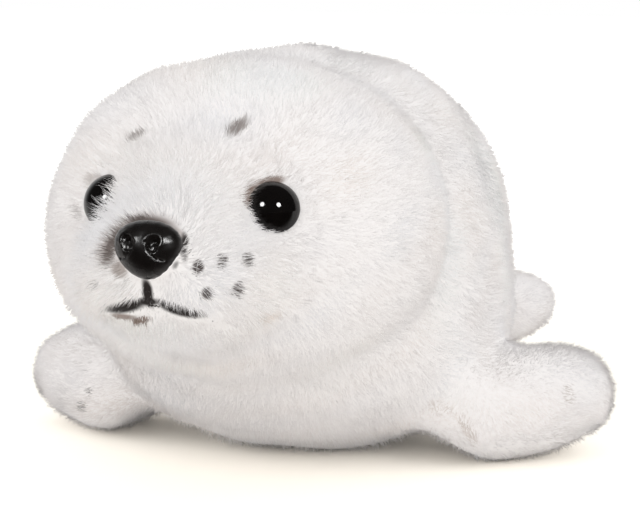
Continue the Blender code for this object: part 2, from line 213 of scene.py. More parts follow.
def plush_pile(name, marks, middle=HEAD_MIDDLE):
    """Knitted polyester plush pile: fine matt fibres whose edges catch the light as a soft sheen."""
    material, tree, place = new_material(name, "#F1EEEB")
    tint = add_node(tree, "ShaderNodeAttribute", attribute_name="pile_colour")
    # Handling lays the pile in patches some 18 mm across, which differ slightly in tone.
    tone = taken(tree, noise(tree, place, 18 * MM, 3.0), 0.3, 0.7, 0.0, 0.1)
    shaded = blend(tree, tone, tint.outputs["Color"], linear("#E4DCD9"))
    colour = lay_marks(tree, shaded, place, marks, middle)
    set_surface(tree, {
        "Base Color": colour, "Roughness": 0.9, "Specular IOR Level": 0.15,
        "Sheen Weight": 0.25, "Sheen Roughness": 0.5,
    })
    return material


def plush_backing():
    """Knitted polyester ground under the pile, with the face's marks, sprayed ones and painted shade, laid on
    it too.
    """
    material, tree, place = new_material("plush_ground", "#E6E1DC")
    # Fibre roots stand about 0.9 mm apart in the knit.
    roots = add_node(tree, "ShaderNodeTexVoronoi", {"Vector": place, "Scale": 1 / (0.9 * MM)})
    tone = taken(tree, roots.outputs["Distance"], 0.0, 1.0, 0.0, 0.35)
    ground = blend(tree, tone, linear("#F9F6F5"), linear("#F3EFED"))
    colour = lay_marks(tree, ground, place, FACE_MARKS, HEAD_MIDDLE)
    bump = add_node(tree, "ShaderNodeBump", {
        "Height": roots.outputs["Distance"], "Strength": 0.15, "Distance": 0.3 * MM,
    })
    set_surface(tree, {
        "Base Color": colour, "Normal": bump.outputs[0], "Roughness": 0.95, "Specular IOR Level": 0.1,
        "Sheen Weight": 0.3,
    })
    return material


def safety_eye_plastic():
    """Injection-moulded ABS, polished: a deep black with sharp reflections and faint handling haze."""
    material, tree, place = new_material("polished_black_abs", "#0B0A0A")
    haze = noise(tree, place, 3 * MM, 4.0)
    rough = taken(tree, haze, 0.35, 0.75, 0.035, 0.11)
    depth = blend(tree, haze, linear("#060505"), linear("#100D0C"))
    set_surface(tree, {
        "Base Color": depth, "Roughness": rough, "IOR": 1.4,
    })
    return material


def safety_nose_plastic():
    """Injection-moulded ABS from a satin tool: black, with the tool's fine grain and softer highlights."""
    material, tree, place = new_material("satin_black_abs", "#14110F")
    # The tool's grain is about 0.35 mm.
    grain = noise(tree, place, 0.35 * MM, 2.0)
    wear = noise(tree, place, 6 * MM, 3.0)
    rough = taken(tree, wear, 0.3, 0.7, 0.22, 0.34)
    depth = blend(tree, wear, linear("#0B0908"), linear("#1B1614"))
    bump = add_node(tree, "ShaderNodeBump", {"Height": grain, "Strength": 0.25, "Distance": 0.06 * MM})
    set_surface(tree, {
        "Base Color": depth, "Roughness": rough, "Normal": bump.outputs[0], "IOR": 1.42,
    })
    return material


def washer_plastic():
    """Natural polyethylene washers: milky, soft and waxy, hidden inside the stuffing."""
    material, tree, place = new_material("natural_polyethylene", "#DAD8D0")
    milk = blend(tree, noise(tree, place, 2 * MM, 2.0), linear("#E2E0D8"), linear("#CFCCC2"))
    set_surface(tree, {
        "Base Color": milk, "Roughness": 0.45, "IOR": 1.51,
    })
    return material


def mouth_thread():
    """Two-ply polyester embroidery thread: dark brown, with a dull lustre along each ply."""
    material, tree, place = new_material("polyester_thread", "#2E221C")
    # Single filaments are too fine to show, so they are drawn 0.25 mm apart.
    fibres = noise(tree, place, 0.25 * MM, 2.0)
    colour = blend(tree, fibres, linear("#15100D"), linear("#30251E"))
    bump = add_node(tree, "ShaderNodeBump", {"Height": fibres, "Strength": 0.5, "Distance": 0.1 * MM})
    set_surface(tree, {
        "Base Color": colour, "Roughness": 0.6, "Normal": bump.outputs[0], "Sheen Weight": 0.2,
    })
    return material


def paper_floor(gain, ahead):
    """White seamless paper: matt, a little warm in the shade, and pure white wherever nothing shades it."""
    material, tree, place = new_material("seamless_paper", "#FFFFFF")
    path = add_node(tree, "ShaderNodeLightPath")
    # The picture's exposure burns the paper out, which the camera alone sees.
    gained = [gain * part for part in linear("#FFFBF2")]
    burnt = blend(tree, path.outputs["Is Camera Ray"], linear("#FAF8F5"), gained, clamp_result=False)
    # In front of the face the floor is dark to whatever is polished.
    away = add_node(tree, "ShaderNodeVectorMath", {0: place, 1: ahead}, operation="DOT_PRODUCT")
    dark = taken(tree, away.outputs["Value"], 0.1, 0.2, 0.0, 1.0, "SMOOTHSTEP")
    far = add_node(tree, "ShaderNodeMath", {
        0: dark, 1: path.outputs["Is Glossy Ray"],
    }, operation="MULTIPLY")
    paper = blend(tree, far.outputs[0], burnt, linear("#101010"), clamp_result=False)
    reach = add_node(tree, "ShaderNodeVectorMath", {0: place}, operation="LENGTH")
    fade = taken(tree, reach.outputs["Value"], 0.2, 0.6, 0.0, 1.0, "SMOOTHSTEP")
    glow = add_node(tree, "ShaderNodeMath", {
        0: fade, 1: path.outputs["Is Camera Ray"],
    }, operation="MULTIPLY")
    set_surface(tree, {
        "Base Color": paper, "Roughness": 0.95, "Specular IOR Level": 0.0,
        "Emission Color": linear("#FFFFFF"), "Emission Strength": glow.outputs[0],
    })
    return material


# Shapes


def finish_piece(piece, material, slot, *replaced):
    """Gives a piece its material and its body, and hides the nodes that it stands for. The slot is not used.
    """
    piece.data.materials.clear()
    piece.data.materials.append(material)
    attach(piece, "root")
    if replaced:
        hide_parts(*replaced)


def new_piece(name, mesh):
    """An object in the scene for a mesh."""
    piece = bpy.data.objects.new(name, mesh)
    bpy.context.scene.collection.objects.link(piece)
    return piece


def piece_of(name, bm):
    """An object in the scene for a bmesh, which is used up."""
    mesh = bpy.data.meshes.new(name)
    bm.to_mesh(mesh)
    bm.free()
    mesh.shade_smooth()
    return new_piece(name, mesh)


def merged_nodes(*names):
    """One bmesh of several CAD nodes, each with its loose triangles joined."""
    bm = bmesh.new()
    for name in names:
        bm.from_mesh(NODES[name].data)
    bmesh.ops.remove_doubles(bm, verts=bm.verts, dist=0.00001)
    return bm


def apply_modifiers(piece):
    """Turns a piece's modifiers into its mesh."""
    seen = piece.evaluated_get(bpy.context.evaluated_depsgraph_get())
    mesh = bpy.data.meshes.new_from_object(seen)
    piece.modifiers.clear()
    piece.data = mesh
    mesh.name = piece.name
    return piece


def remeshed(name, bm, voxel, smoothing):
    """A piece with one closed, even skin over a bmesh."""
    piece = piece_of(name, bm)
    skin = piece.modifiers.new("skin", "REMESH")
    skin.mode = "VOXEL"
    skin.voxel_size = voxel
    skin.use_smooth_shade = True
    soften = piece.modifiers.new("soften", "SMOOTH")
    soften.iterations = smoothing
    soften.factor = 0.5
    return apply_modifiers(piece)


def points_of(mesh):
    """A mesh's points and vertex normals as arrays."""
    points = np.empty(len(mesh.vertices) * 3, np.float32)
    ups = np.empty(len(mesh.vertices) * 3, np.float32)
    mesh.vertices.foreach_get("co", points)
    mesh.vertex_normals.foreach_get("vector", ups)
    return points.reshape(-1, 3).astype(float), ups.reshape(-1, 3).astype(float)


def set_points(mesh, points):
    """Moves a mesh's points to new places."""
    mesh.vertices.foreach_set("co", points.astype(np.float32).ravel())
    mesh.update()


def tree_of(mesh):
    """A search tree of a mesh's faces."""
    return BVHTree.FromPolygons([v.co for v in mesh.vertices], [list(p.vertices) for p in mesh.polygons])


def unit(vectors):
    """Vectors, each at length one."""
    return vectors / np.maximum(np.linalg.norm(vectors, axis=1, keepdims=True), TINY)


def ripple(points, size, seed, fields=3):
    """Smooth random fields between about -1 and 1, whose swells are a given size across."""
    rng = np.random.default_rng(seed)
    total = np.zeros((len(points), fields))
    for _ in range(7):
        waves = rng.normal(0, 1, (3, fields)) * (math.tau / size / 1.7)
        total += np.sin(points @ waves + rng.uniform(0, math.tau, fields))
    return total / 2.6


def ease(value):
    """0 to 1 with a soft start and end."""
    value = np.clip(value, 0, 1)
    return value * value * (3 - 2 * value)


def spun(name, outline, origin, axis, steps):
    """Turns an outline of (radius, height) about an axis into one closed piece."""
    bm = bmesh.new()
    points = [bm.verts.new((radius, 0, height)) for radius, height in outline]
    edges = [bm.edges.new(pair) for pair in zip(points, points[1:])]
    bmesh.ops.spin(bm, geom=points + edges, cent=(0, 0, 0), axis=(0, 0, 1), angle=math.tau, steps=steps,
                   use_merge=True)
    bmesh.ops.remove_doubles(bm, verts=bm.verts, dist=0.000002)
    bmesh.ops.recalc_face_normals(bm, faces=bm.faces)
    upright = axis.to_track_quat("Z", "Y").to_matrix().to_4x4()
    bmesh.ops.transform(bm, verts=bm.verts, matrix=Matrix.Translation(origin) @ upright)
    piece = piece_of(name, bm)
    piece.data.set_sharp_from_angle(angle=math.radians(50))
    return piece


# Face parts


DOME = 5.2 * MM
DOME_DROP = 3.0 * MM  # bought eyes are flatter than the solid, so the dome's top lies lower


def eye_place(side):
    """An eye's seat: the top of its dome, its axis, its widest radius, and its whole depth."""
    def spots_of(name):
        bm = merged_nodes(name)
        spots = [vert.co.copy() for vert in bm.verts]
        bm.free()
        return spots, sum(spots, Vector()) / len(spots)

    _, washer = spots_of(f"eye_washer_{side}")
    spots, middle = spots_of(f"eye_{side}")
    axis = (middle - washer).normalized()
    heights = [(spot - washer).dot(axis) for spot in spots]
    radius = max((spot - washer - axis * height).length for spot, height in zip(spots, heights))
    top = max(heights) - DOME_DROP
    return washer + axis * top, axis, radius, top - min(heights)


EYES = {side: eye_place(side) for side in ("left", "right")}


def off_axis(points, top, axis):
    """Each point's offset from an eye's axis, and how far up that axis it lies from the dome's top."""
    gap = points - np.array(top)
    along = gap @ np.array(axis)
    return gap - along[:, None] * np.array(axis), along


def held_off_eyes(points):
    """How far each point is from the eyes' domes, seen along their axes: below 1 it lies over one of them."""
    least = np.full(len(points), FAR_OFF)
    for top, axis, radius, _ in EYES.values():
        across, along = off_axis(points, top, axis)
        share = np.linalg.norm(across, axis=1) / radius
        least = np.minimum(least, np.where(along > -0.03, share, FAR_OFF))
    return least


def held_off_nose(points):
    """How far each point is from the nose, seen from the front: below 1 it lies over it."""
    half = (NOSE_HIGH - NOSE_LOW) / 2
    across = (points[:, 0] - NOSE_MIDDLE.x) / half.x
    up = (points[:, 2] - NOSE_MIDDLE.z) / half.z
    return np.where(points[:, 1] < NOSE_HIGH.y, np.hypot(across, up), FAR_OFF)


def line_distance(spots, line):
    """Each flat spot's distance to a line of flat points."""
    least = np.full(len(spots), np.inf)
    for start, end in zip(line, line[1:]):
        start, end = np.array(start, float), np.array(end, float)
        run = end - start
        share = np.clip((spots - start) @ run / (run @ run), 0, 1)
        least = np.minimum(least, np.linalg.norm(spots - start - share[:, None] * run, axis=1))
    return least


# Pile


def scatter(mesh, count, rng, density):
    """Even root places over a mesh, with the direction that its surface faces there."""
    points, ups = points_of(mesh)
    mesh.calc_loop_triangles()
    corners = np.empty(len(mesh.loop_triangles) * 3, np.int32)
    mesh.loop_triangles.foreach_get("vertices", corners)
    corners = corners.reshape(-1, 3)
    a, b, c = (points[corners[:, i]] for i in range(3))
    parts = np.empty(len(points), np.int32)
    mesh.attributes["part"].data.foreach_get("value", parts)
    share = density((a + b + c) / 3, ups[corners[:, 0]], parts[corners[:, 0]])
    share = share * np.linalg.norm(np.cross(b - a, c - a), axis=1)
    reach = np.cumsum(share)
    chosen = np.searchsorted(reach, (np.arange(count) + rng.random(count)) / count * reach[-1])
    chosen = chosen.clip(0, len(corners) - 1)
    s, t = rng.random(count), rng.random(count)
    over = s + t > 1
    s[over], t[over] = 1 - s[over], 1 - t[over]
    weights = np.stack([1 - s - t, s, t], 1)[:, :, None]
    roots = (points[corners[chosen]] * weights).sum(1)
    return roots, unit((ups[corners[chosen]] * weights).sum(1))


def unroll(points, middle):
    """A flat map of points round a middle: the face's front lies at its centre, the rear on its rim."""
    ways = unit(points - np.array(middle))
    bend = np.arccos(np.clip(-ways[:, 1], -1, 1)) / math.pi
    flat = unit(np.stack([ways[:, 0], ways[:, 2]], 1) + 1e-9)
    return 0.5 + 0.48 * bend[:, None] * flat


def grow(rng, roots, ups, lays, lengths, look):
    """The points along each fibre, from its root to its tip. A few wild fibres lean far from the rest."""
    count, rows = len(roots), look["rows"]
    wild = 1 + 2.2 * (rng.random(count) < 0.07)
    lean = np.radians(look["lean"] + rng.normal(0, look["spread"], count) * wild).clip(0.05, 1.4)[:, None]
    heading = unit(ups * np.cos(lean) + lays * np.sin(lean) + rng.normal(0, look["frizz"], (count, 3)))
    path = [roots - ups * ROOT_DEPTH]
    for _ in range(rows):
        heading = unit(heading + lays * look["bend"] + np.array([0, 0, -look["droop"]])
                       + rng.normal(0, look["frizz"], (count, 3)))
        path.append(path[-1] + heading * (lengths / rows)[:, None])
    return path


def gather(rng, roots, path, look):
    """Neighbouring fibres cling together: each leans over to the tip of the nearest tuft."""
    rows = len(path) - 1
    chiefs = np.arange(0, len(roots), look["tuft"])
    tree = KDTree(len(chiefs))
    for chief in chiefs:
        tree.insert(Vector(roots[chief]), int(chief))
    tree.balance()
    leader = np.array([tree.find(Vector(root))[1] for root in roots])
    cling = (look["cling"] * rng.uniform(0.4, 1.0, len(roots)))[:, None]
    pulls = [cling * (row / rows) ** 1.3 for row in range(rows + 1)]
    return [spots + (spots[leader] - spots) * pull for spots, pull in zip(path, pulls)]


def clear_hard_parts(rng, path, look):
    """Ends the fibres at the rims of the eyes and nose, apart from tips that stray over, and at the floor."""
    count = len(path[0])
    stray = rng.uniform(look["stray"], 1.04, count)
    half = np.array((NOSE_HIGH - NOSE_LOW) / 2)
    for spots in path[1:]:
        for top, axis, radius, _ in EYES.values():
            across, along = off_axis(spots, top, axis)
            away = np.linalg.norm(across, axis=1)
            inside = (away < radius * stray) & (along > -0.02)
            push = np.where(inside, radius * stray / np.maximum(away, TINY), 1.0)[:, None]
            spots[:] = np.array(top) + along[:, None] * np.array(axis) + across * push
        off = (spots - np.array(NOSE_MIDDLE)) / half
        away = np.hypot(off[:, 0], off[:, 2])
        inside = (away < stray) & (spots[:, 1] < NOSE_HIGH.y)
        push = np.where(inside, stray / np.maximum(away, TINY), 1.0)
        spots[:, 0] = NOSE_MIDDLE.x + (spots[:, 0] - NOSE_MIDDLE.x) * push
        spots[:, 2] = NOSE_MIDDLE.z + (spots[:, 2] - NOSE_MIDDLE.z) * push
    for spots in path:
        low = 0.3 * MM + 0.5 * MM * rng.random(count)
        spots[:, 2] = np.maximum(spots[:, 2], low)


def spike_mesh(rng, name, path, ups, look):
    """A thin three-sided spike along each path, with its broad side up, so that it shows no back."""
    count, rows = len(ups), len(path) - 1
    run = unit(path[rows] - path[0])
    side = unit(np.cross(ups, run) + rng.normal(0, look["twist"], (count, 3)))
    side = unit(side - (side * run).sum(1, keepdims=True) * run)
    other = np.cross(run, side)
    turned = (other * ups).sum(1, keepdims=True) < 0
    side, other = np.where(turned, -side, side), np.where(turned, -other, other)
    width = (look["width"] * rng.uniform(0.7, 1.25, count))[:, None] / 2
    stride = 3 * rows + 1
    spots = np.empty((count, stride, 3))
    facing = np.repeat(ups[:, None, :], stride, 1)
    for corner, turn in enumerate((math.radians(10), math.radians(170), math.radians(270))):
        out = side * math.cos(turn) + other * math.sin(turn)
        for row in range(rows):
            spots[:, 3 * row + corner] = path[row] + out * width * (1 - 0.2 * row)
            # A real fibre is round and lets light through, so its shading leans towards the surface's.
            facing[:, 3 * row + corner] = unit(ups * 0.25 + out * 0.75)
    spots[:, -1] = path[rows]
    base = (np.arange(count) * stride)[:, None]
    faces = []
    for corner in range(3):
        after = (corner + 1) % 3
        for row in range(rows - 1):
            faces += (base + np.array([corner, after, after + 3, corner + 3]) + 3 * row).tolist()
        faces += (base + np.array([3 * rows - 3 + corner, 3 * rows - 3 + after, 3 * rows])).tolist()
    mesh = bpy.data.meshes.new(name)
    mesh.from_pydata(spots.reshape(-1, 3).tolist(), [], faces)
    mesh.shade_smooth()
    mesh.normals_split_custom_set_from_vertices(facing.reshape(-1, 3).tolist())
    return mesh


def paint_spikes(rng, mesh, tints, look, rows):
    """Stores each fibre's colour, darker at the root as painted shade, and how far aside it reads the marks.
    """
    count, stride = len(tints), 3 * rows + 1
    # Painted shade: each fibre is 5 percent darker at its root than at its tip, where the pile shades it.
    deep = np.repeat(np.linspace(0.95, 1.0, rows + 1), 3)[:stride]
    colours = np.ones((count, stride, 4), np.float32)
    colours[:, :, :3] = tints[:, None, :] * deep[None, :, None]
    paint = mesh.color_attributes.new(name="pile_colour", type="FLOAT_COLOR", domain="POINT")
    paint.data.foreach_set("color", colours.ravel())
    shift = np.repeat(rng.normal(0, look["blur"], (count, 3)), stride, 0)
    mark_offsets = mesh.attributes.new("mark_shift", "FLOAT_VECTOR", "POINT")
    mark_offsets.data.foreach_set("vector", shift.astype(np.float32).ravel())


def map_spikes(mesh, roots, middle, rows):
    """Gives each fibre its own small place on a flat map, by its root, for programs that bake the colour."""
    texel = 1 / 512
    stride = 3 * rows + 1
    patch = np.array([[0.8 * (i % 3 - 1), (i // 3) * 1.6 / rows - 0.4 * (i % 3 == 1)] for i in range(stride)])
    patch[-1] = (0, 1.8)
    flat = unroll(roots, middle)[:, None, :] + patch[None] * texel
    layer = mesh.uv_layers.new(name="OFBake")
    corners = np.empty(len(mesh.loops), np.int32)
    mesh.loops.foreach_get("vertex_index", corners)
    layer.uv.foreach_set("vector", flat.reshape(-1, 2)[corners].astype(np.float32).ravel())


def pile_tints(roots, rng, base):
    """Each fibre's colour: the plush's own, which dye and handling make slightly warmer or greyer, and darker
    towards the floor.
    """
    tone = 1 + 0.03 * ripple(roots, 0.05, 5, 1) + rng.normal(0, 0.012, (len(roots), 1))
    warm = 0.012 * ripple(roots, 0.035, 6, 1)
    # Fibres in the lowest 50 mm are up to 6.5 percent darker, more so nearer the floor.
    low = ease((0.05 - roots[:, 2:3]) / 0.05) * 0.065
    shades = np.concatenate([1 + warm, np.ones_like(warm), 1 - warm], 1)
    return (base * tone * (1 - low) * shades).clip(0, 0.97)


def comb(roots, ups, ways, swirl, size, seed):
    """The way the pile lies: a direction along the surface, with the swirls that handling leaves."""
    ways = unit(ways) + swirl * ripple(roots, size, seed)
    ways = ways - (ways * ups).sum(1, keepdims=True) * ups
    return unit(ways)


def distances(points, node):
    """How far each point is from a node's surface."""
    tree = tree_of(merged_mesh(node))
    return np.array([tree.find_nearest(Vector(point))[3] for point in points])


def soften_seams(piece, weights, rounds):
    """Smooths a piece where its weights say, as stuffing rounds a sewn seam."""
    group = piece.vertex_groups.new(name="seams")
    for at in np.flatnonzero(weights > 0.02):
        group.add([int(at)], float(weights[at]), "REPLACE")
    rounding = piece.modifiers.new("rounding", "SMOOTH")
    rounding.iterations = rounds
    rounding.factor = 0.5
    rounding.vertex_group = group.name
    apply_modifiers(piece)
    piece.vertex_groups.clear()


def plant(name, count, lays, wanted, look, seed, material, settings, middle, lengths=None):
    """Grows one piece of pile on the skin, off the floor's contact patch and the face's hard parts."""
    mesh = bpy.data.objects["plush_skin"].data
    rng = np.random.default_rng(seed)
    roots, ups = scatter(mesh, count, rng, wanted)
    outer = roots + ups * look["inset"]
    keep = (outer[:, 2] > 0.7 * MM) & (held_off_eyes(roots) > 0.93) & (held_off_nose(roots) > 0.93)
    roots, ups = roots[keep], ups[keep]
    spread = rng.normal(1, 0.16, len(roots)).clip(0.55, 1.4)
    long = look["length"] * spread * (1 + 0.14 * ripple(roots, 0.012, seed + 1, 1)[:, 0])
    if lengths is not None:
        long = long * lengths(roots)
    tints = pile_tints(roots, rng, np.array(settings.pile_colour))

    rng = np.random.default_rng(seed + 2)
    path = grow(rng, roots, ups, lays(roots, ups), long, look)
    path = gather(rng, roots, path, look)
    clear_hard_parts(rng, path, look)
    mesh = spike_mesh(rng, name, path, ups, look)
    paint_spikes(rng, mesh, tints, look, look["rows"])
    map_spikes(mesh, roots, middle, look["rows"])
    piece = new_piece(name, mesh)
    # Light passes through real fibres, so these spikes shade neither each other nor the skin.
    piece.visible_shadow = False
    piece.visible_diffuse = False
    finish_piece(piece, material, "fur")


def merged_mesh(node):
    """A node's mesh with its loose triangles joined, for searching only."""
    bm = merged_nodes(node)
    mesh = bpy.data.meshes.new(f"search_{node}")
    bm.to_mesh(mesh)
    bm.free()
    return mesh


# Settings


def length_setting(name, description, default, low, high):
    """A length, given in mm."""
    return FloatProperty(
        name=name, description=description, default=default * MM, min=low * MM, max=high * MM,
        subtype="DISTANCE", unit="LENGTH",
    )


def fibres_setting(name, where, default):
    return IntProperty(name=f"{name} fibres", description=f"Fibres on {where}", default=default)


class SealPileSettings(bpy.types.PropertyGroup):
    """Lengths, number of fibres and colour of the pile"""

    body_length: length_setting("Body pile", "Length of the fibres on the body", 4.4, 2, 20)
    crown_length: length_setting(
        "Head pile", "Length of the fibres on the head, away from the muzzle", 4.2, 2, 20,
    )
    muzzle_length: length_setting("Muzzle pile", "Length of the long fibres on the muzzle", 9.0, 2, 25)
    flipper_length: length_setting("Flipper pile", "Length of the fibres on the flippers", 3.8, 2, 20)
    fibre_width: length_setting(
        "Fibre width", "Width of a drawn fibre, which stands for several real ones", 0.33, 0.05, 2,
    )
    body_fibres: fibres_setting("Body", "each half of the body", 54000)
    crown_fibres: fibres_setting("Head", "the head behind the face", 64000)
    muzzle_fibres: fibres_setting("Muzzle", "the muzzle", 14000)
    face_fibres: fibres_setting("Face", "the face round the muzzle", 10000)
    front_fibres: fibres_setting("Flipper", "each front flipper", 20000)
    hind_fibres: fibres_setting("Hind", "each hind flipper", 9000)
    pile_colour: FloatVectorProperty(
        name="Pile colour", description="Colour of the plush", subtype="COLOR",
        default=tuple(linear("#FAF6F5")[:3]), min=0, max=1,
    )


class SealFaceSettings(bpy.types.PropertyGroup):
    """Sizes of the nose's nostrils and the mouth's thread"""

    thread_width: length_setting("Thread width", "Width of the two-ply mouth thread", 1.3, 0.2, 4)
    nostril_depth: length_setting("Nostril depth", "How deep the nostrils are moulded", 1.5, 0, 5)


class SealStageSettings(bpy.types.PropertyGroup):
    """Light and floor of the studio"""

    lamp_power: FloatProperty(
        name="Lamp power", description="The power that each lamp's share multiplies", default=1.4, min=0,
        subtype="POWER", unit="POWER",
    )
    sky: FloatProperty(name="Sky", description="Strength of the white surroundings", default=0.93, min=0)
    paper_gain: FloatProperty(
        name="Paper gain", description="How much brighter than it is lit the camera sees the paper",
        default=1.3, min=1,
    )


# Operators


FACE_NODES = ("nose", "eye_left", "eye_right", "nose_washer", "eye_washer_left", "eye_washer_right")
SOFT_NODES = (
    "head", "body", "front_flipper_left", "front_flipper_right", "hind_flipper_left", "hind_flipper_right",
)


def face_side(points):
    """Which points lie on the face: round the nose, and in front of the cheeks."""
    near = np.linalg.norm((points - np.array(NOSE_MIDDLE)) / np.array([1.15, 1.3, 1.0]), axis=1)
    return (near < 47 * MM) & (points[:, 1] < FACE_REAR)


def pile_look(settings, length, **changes):
    """How one piece of pile grows. Angles are in degrees, from upright."""
    look = {
        "length": length, "inset": 0.7 * MM, "width": settings.fibre_width, "rows": 1, "lean": 48,
        "spread": 14, "bend": 0.22, "droop": 0.03, "frizz": 0.2, "tuft": 16, "cling": 0.28, "twist": 0.2,
        "stray": 0.82, "blur": 0.7 * MM,
    }
    return look | changes


def pad_gap(points):
    """How far each point is from the nearer pad of the muzzle, which reaches 1."""
    gap = np.hypot((abs(points[:, 0]) - 0.017) / 0.021, (points[:, 2] - 0.081) / 0.0155)
    return np.where(points[:, 1] < FACE_REAR, gap, FAR_OFF)


# Where the cloth is lifted off the floor: the middle, the reach and the lift, in mm.
HOLLOWS = (
    ((-55, -18, 0), (14, 22, 16), 13),
    ((56, -26, 0), (13, 20, 12), 9),
)


SKIN_VOXEL = 2.7 * MM
SEAM_REACH = 26 * MM


def sewn_forms():
    """All the forms in one bmesh, each grown by 0.5 mm, which closes the gap between neighbours."""
    bm = bmesh.new()
    for name in (*SOFT_NODES, *FACE_NODES):
        part = merged_nodes(name)
        part.normal_update()
        for vert in part.verts:
            vert.co += vert.normal * 0.5 * MM
        mesh = bpy.data.meshes.new("part")
        part.to_mesh(mesh)
        part.free()
        bm.from_mesh(mesh)
        bpy.data.meshes.remove(mesh)
    return bm


def round_seams(piece):
    """Rounds the skin where two forms meet, and gives each point's distance to every soft form."""
    points, _ = points_of(piece.data)
    away = np.stack([distances(points, name) for name in SOFT_NODES])
    nearest, second = np.sort(away, 0)[:2]
    neck = (nearest == away[0]) | (second == away[0])
    throat = 1 - ease((points[:, 2] - 0.09) / 0.04)
    seam = (1 - ease((second - 1 * MM) / SEAM_REACH)) * np.where(neck, 0.65 + 0.35 * throat, 0.8)
    soften_seams(piece, seam, 90)
    return away


def fill_out(points, ups, away):
    """Draws the skin in under its pile, but fills the shoulders and the two pads of the muzzle."""
    hard = np.min([distances(points, name) for name in ("nose", "eye_left", "eye_right")], 0)
    rear = ease((away[0] - away[1:].min(0) + 8 * MM) / (16 * MM))
    deep = (1.9 - 1.2 * rear) * MM + (0.8 + 1.2 * rear) * MM * (1 - ease((hard - 1.5 * MM) / (5 * MM)))
    shoulder = ease((points[:, 2] - 0.07) / 0.04) * ease((abs(points[:, 0]) - 0.012) / 0.03) * rear
    crest = ease((points[:, 2] - 0.12) / 0.03) * (1 - ease((abs(points[:, 0]) - 0.015) / 0.035))
    deep += 1.8 * MM * crest
    deep -= 3.2 * MM * shoulder * (1 - ease((points[:, 1] - 0.08) / 0.04))
    deep -= 2.0 * MM * (1 - ease((pad_gap(points) - 0.78) / 0.3))
    points -= ups * (deep + 0.5 * MM * ripple(points, 0.035, 11, 1)[:, 0])[:, None]


def lay_flippers(points):
    """Lifts the tip of the left front flipper off the floor, and tucks the right one in."""
    points[:, 2] += 3.5 * MM * ease((points[:, 0] - 0.075) / 0.035)
    tucked = ease((-points[:, 0] - 0.085) / 0.03)
    points += np.array([4.0, 0, 1.5]) * MM * tucked[:, None]


def seat_eyes(points):
    """Presses a seat into the skin under each eye."""
    for top, axis, radius, _ in EYES.values():
        gap, along = off_axis(points, top, axis)
        across = np.linalg.norm(gap, axis=1)
        seat = -(DOME + 1.0 * MM) + 1.1 * np.maximum(across - radius * 0.97, 0)
        over = np.where((across < radius * 1.6) & (along > -0.02), np.maximum(along - seat, 0), 0)
        points -= over[:, None] * np.array(axis)


def lift_cloth(points):
    """Lifts the cloth off the floor in front of each front flipper's root, as the stuffing does."""
    for spot, reach, lift in HOLLOWS:
        near = np.exp(-(((points - np.array(mm(*spot))) / np.array(mm(*reach))) ** 2).sum(1))
        points[:, 2] += lift * MM * near


class SEAL_OT_skin(bpy.types.Operator):
    """Makes the stuffed skin under the pile, sewn together from the head, the body and the flippers"""

    bl_idname = "seal.skin"
    bl_label = "Stuffed skin"

    def execute(self, context):
        piece = remeshed("plush_skin", sewn_forms(), SKIN_VOXEL, 3)
        away = round_seams(piece)
        points, ups = points_of(piece.data)
        fill_out(points, ups, away)
        lay_flippers(points)
        seat_eyes(points)
        lift_cloth(points)
        points[:, 2] = np.maximum(points[:, 2], 0.8 * MM)
        set_points(piece.data, points)
        part = piece.data.attributes.new("part", "INT", "POINT")
        part.data.foreach_set("value", away.argmin(0).astype(np.int32))
        finish_piece(piece, plush_backing(), "fur", *SOFT_NODES)
        return {"FINISHED"}


class SEAL_OT_face_pile(bpy.types.Operator):
    """Grows the long pile of the muzzle and the short pile round the eyes"""

    bl_idname = "seal.face_pile"
    bl_label = "Face pile"

    def execute(self, context):
        settings = context.scene.seal_pile
        material = plush_pile("plush_pile_face", FACE_MARKS)
        nose = np.array(NOSE_MIDDLE)

        def muzzle(points):
            return np.hypot(points[:, 0] / 0.037, (points[:, 2] - 0.09) / 0.03)

        def lays(roots, ups):
            return comb(roots, ups, roots - nose + np.array([0, 0.01, -0.004]), 0.35, 0.02, 31)

        def lengths(roots):
            """Short at the nose, the eyes and the mouth, full on the muzzle."""
            grown = 0.5 + 0.5 * (1 - ease((muzzle(roots) - 0.9) / 0.25))
            lip = [(-19, 67.9), (-10, 72.0), (0, 74.2), (10, 72.0), (19, 67.9)]
            off_lip = line_distance(roots[:, [0, 2]] / MM, lip)
            off_lip = np.minimum(off_lip, line_distance(roots[:, [0, 2]] / MM, [(0, 74), (0, 83)]) + 0.5)
            grown *= 0.2 + 0.8 * ease((off_lip - 1.5) / 6.5)
            grown *= 0.5 + 0.5 * ease((held_off_nose(roots) - 0.95) / 0.6)
            return grown * (0.45 + 0.55 * ease((held_off_eyes(roots) - 0.95) / 0.6))

        for name, long, count, rows, width, seed in (
            ("muzzle_pile", True, settings.muzzle_fibres, 2, 0.7, 101),
            ("face_pile", False, settings.face_fibres, 1, 1.0, 106),
        ):
            def wanted(middles, ups, parts):
                there = (parts == 0) & face_side(middles) & ((muzzle(middles) < 1.1) == long)
                return np.where(there, 1.0, 0.0)

            look = pile_look(settings, settings.muzzle_length, rows=rows, lean=40, spread=16, bend=0.2,
                             cling=0.5, droop=0.04, width=settings.fibre_width * width)
            plant(name, count, lays, wanted, look, seed, material, settings, HEAD_MIDDLE, lengths)
        return {"FINISHED"}


class SEAL_OT_crown_pile(bpy.types.Operator):
    """Grows the pile of the head behind the face"""

    bl_idname = "seal.crown_pile"
    bl_label = "Head pile"

    def execute(self, context):
        settings = context.scene.seal_pile
        nose = np.array(NOSE_MIDDLE)

        def behind(middles, ups, parts):
            return np.where((parts == 0) & ~face_side(middles), 1.0, 0.0)

        def lays(roots, ups):
            return comb(roots, ups, roots - nose + np.array([0, 0.03, -0.02]), 0.35, 0.03, 32)

        look = pile_look(settings, settings.crown_length)
        plant("crown_pile", settings.crown_fibres, lays, behind, look, 102,
              plush_pile("plush_pile_head", FOREHEAD_MARKS), settings, HEAD_MIDDLE)
        return {"FINISHED"}


